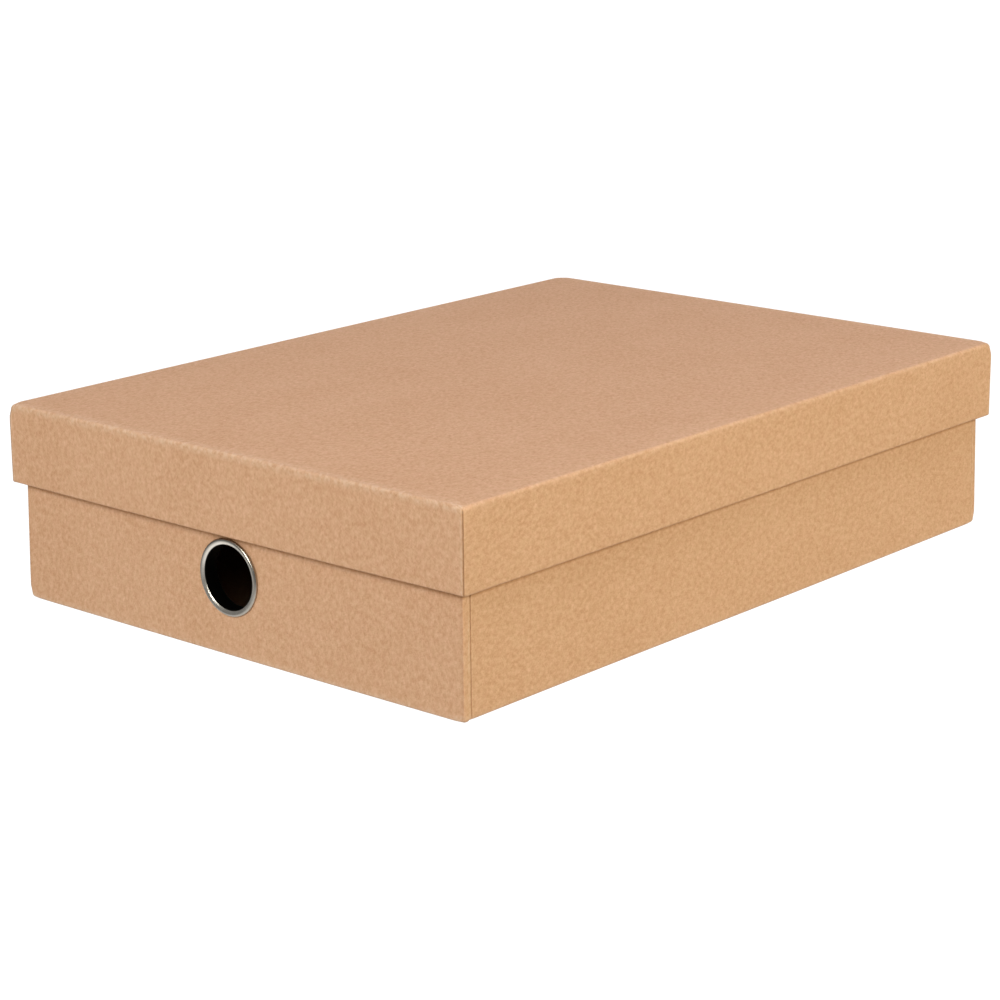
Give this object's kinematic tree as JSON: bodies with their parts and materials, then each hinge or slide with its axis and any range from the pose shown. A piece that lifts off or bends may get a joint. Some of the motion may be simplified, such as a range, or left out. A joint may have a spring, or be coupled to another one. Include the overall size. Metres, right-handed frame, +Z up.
{
  "type": "archival box",
  "caption": "Flat document storage box of paper-wrapped board with a lift-off lid and a metal-rimmed finger hole in one end.",
  "frame": {"origin": "centre of the base's underside, on the surface that the box stands on", "axes": "+Y along the box's length, away from the end wall with the finger hole, which is at -Y; +X to the right of someone facing that wall; +Z up, the way the lid lifts"},
  "size_m": [0.24, 0.34, 0.08],
  "materials": {
    "kraft_wrap": "matte",
    "kraft_liner": "matte",
    "greyboard": "matte",
    "stay_tape": "matte",
    "nickel": "polished"
  },
  "bodies": {
    "base": {"base_bottom_board": "greyboard", "base_front_board": "greyboard", "base_rear_board": "greyboard", "base_left_board": "greyboard", "base_right_board": "greyboard", "base_front_left_corner_stay": "stay_tape", "base_front_right_corner_stay": "stay_tape", "base_rear_left_corner_stay": "stay_tape", "base_rear_right_corner_stay": "stay_tape", "base_wrap": "kraft_wrap", "base_wall_liner": "kraft_liner", "base_floor_liner": "kraft_liner", "eyelet": "nickel", "eyelet_washer": "nickel"},
    "lid": {"lid_top_board": "greyboard", "lid_front_board": "greyboard", "lid_rear_board": "greyboard", "lid_left_board": "greyboard", "lid_right_board": "greyboard", "lid_front_left_corner_stay": "stay_tape", "lid_front_right_corner_stay": "stay_tape", "lid_rear_left_corner_stay": "stay_tape", "lid_rear_right_corner_stay": "stay_tape", "lid_wrap": "kraft_wrap", "lid_top_liner": "kraft_liner"}
  },
  "joints": [
    {"name": "lid_lift", "type": "slide", "parent": "base", "child": "lid", "axis": [0, 0, 1], "range_m": [0, 0.15]}
  ]
}
